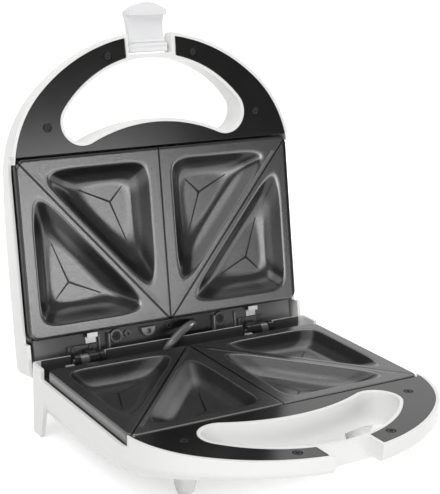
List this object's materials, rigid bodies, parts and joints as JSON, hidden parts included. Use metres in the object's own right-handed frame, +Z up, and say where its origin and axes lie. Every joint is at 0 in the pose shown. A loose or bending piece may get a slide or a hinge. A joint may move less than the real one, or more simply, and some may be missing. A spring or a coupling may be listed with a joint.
{
  "type": "sandwich toaster",
  "caption": "White sandwich toaster standing open: hinged lid, plates with triangular pockets, arched handles with black trim and a pull-down latch.",
  "frame": {"origin": "on the table, at the middle of the open toaster's footprint", "axes": "+X to the right seen from the front, -Y towards the user and the handle, +Z up"},
  "size_m": [0.228, 0.2871, 0.2899],
  "materials": {
    "white_shell": "gloss white moulded plastic",
    "trim": "black semi-gloss moulded plastic",
    "nonstick": "satin dark grey non-stick coating on cast aluminium",
    "frame": "grey heat-resistant moulded plastic",
    "black_screw": "black oxide",
    "steel": "bright zinc-plated steel",
    "hinge_black": "black painted steel",
    "hinge_grey": "plain pressed steel",
    "element": "dark heat-resistant steel sheath",
    "shield": "bright aluminium sheet",
    "ceramic": "cream heat-resistant moulding",
    "wire": "red silicone insulation",
    "bush": "black rubber",
    "sleeve": "pale translucent silicone-varnished sleeve",
    "lens": "clear red plastic",
    "lamp": "clear glass lamp"
  },
  "bodies": {
    "base": {"base_casing": "white_shell", "base_trim_panel": "trim", "base_trim_screws": "black_screw", "base_inner_frame": "frame", "base_grill_plate": "nonstick", "base_plate_screws": "steel", "base_frame_screws": "black_screw", "base_heating_element": "element", "base_element_clamps": "steel", "base_heat_shield": "shield", "base_hinge_brackets": "hinge_grey", "base_hinge_screws": "steel", "base_plate_clips": "steel", "base_wiring": "wire", "hinge_pins": "steel", "thermostat": "ceramic", "thermal_fuse": "ceramic", "terminal_block": "ceramic", "cord_inlet": "bush", "link_cable": "sleeve"},
    "lid": {"lid_casing": "white_shell", "lid_trim_panel": "trim", "lid_trim_screws": "black_screw", "lid_inner_frame": "frame", "lid_grill_plate": "nonstick", "lid_plate_screws": "steel", "lid_frame_screws": "black_screw", "lid_heating_element": "element", "lid_element_clamps": "steel", "lid_heat_shield": "shield", "lid_hinge_brackets": "hinge_black", "lid_hinge_screws": "black_screw", "lid_plate_clips": "steel", "lid_wiring": "wire", "indicator_lenses": "lens", "indicator_lamps": "lamp", "latch_pin": "steel"},
    "latch": {"latch": "white_shell"}
  },
  "joints": [
    {"name": "lid_hinge", "type": "hinge", "parent": "base", "child": "lid", "pos_m": [0, 0.0844, 0.0459], "axis": [1, 0, 0], "range_deg": [0, 100], "deforming": ["link_cable"]},
    {"name": "latch_pivot", "type": "hinge", "parent": "lid", "child": "latch", "pos_m": [0, 0.1344, 0.25692], "axis": [1, 0, 0], "range_deg": [0, 90]}
  ]
}
